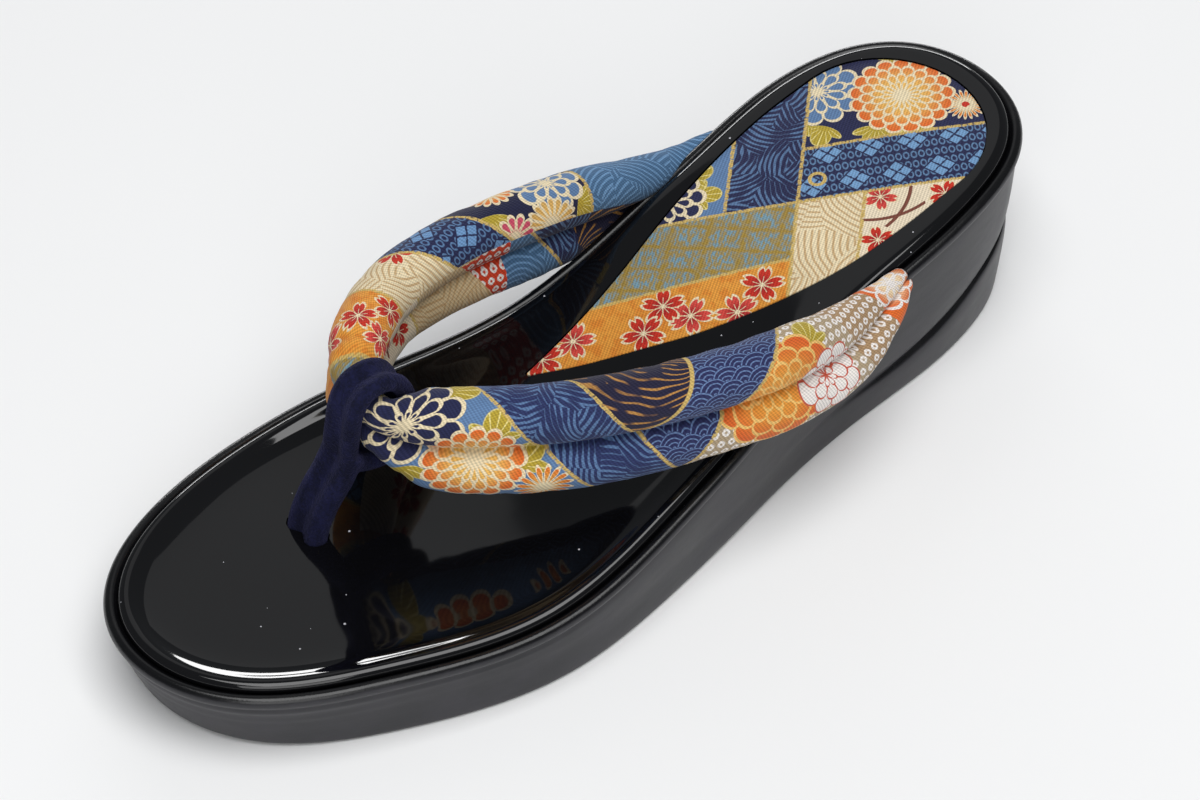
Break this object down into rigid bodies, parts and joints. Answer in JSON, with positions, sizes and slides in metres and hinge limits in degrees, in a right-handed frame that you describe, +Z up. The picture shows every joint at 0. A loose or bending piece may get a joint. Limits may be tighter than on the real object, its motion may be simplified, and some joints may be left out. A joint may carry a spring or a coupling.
{
  "type": "zori sandal",
  "caption": "Left zori sandal: black wedge sole, dished glossy board, printed cloth heel inlay, padded patchwork strap and looped toe thong.",
  "frame": {"origin": "on the ground under the middle of the sandal's bounding box", "axes": "+Z up from the ground, -Y towards the toe, +Y towards the heel, +X towards the outer side of a left foot"},
  "size_m": [0.0884, 0.2398, 0.0574],
  "materials": {
    "wall_leather": "satin black synthetic leather wrapped round the wedge",
    "board_enamel": "mirror gloss black enamel",
    "inlay_cloth": "printed twill in patchwork",
    "strap_cloth": "printed twill in patchwork, padded",
    "thong_velvet": "navy velvet"
  },
  "bodies": {
    "root": {"sole_body": "wall_leather", "top_board": "board_enamel", "heel_inlay": "inlay_cloth", "hanao_strap": "strap_cloth", "toe_thong": "thong_velvet"}
  },
  "joints": []
}
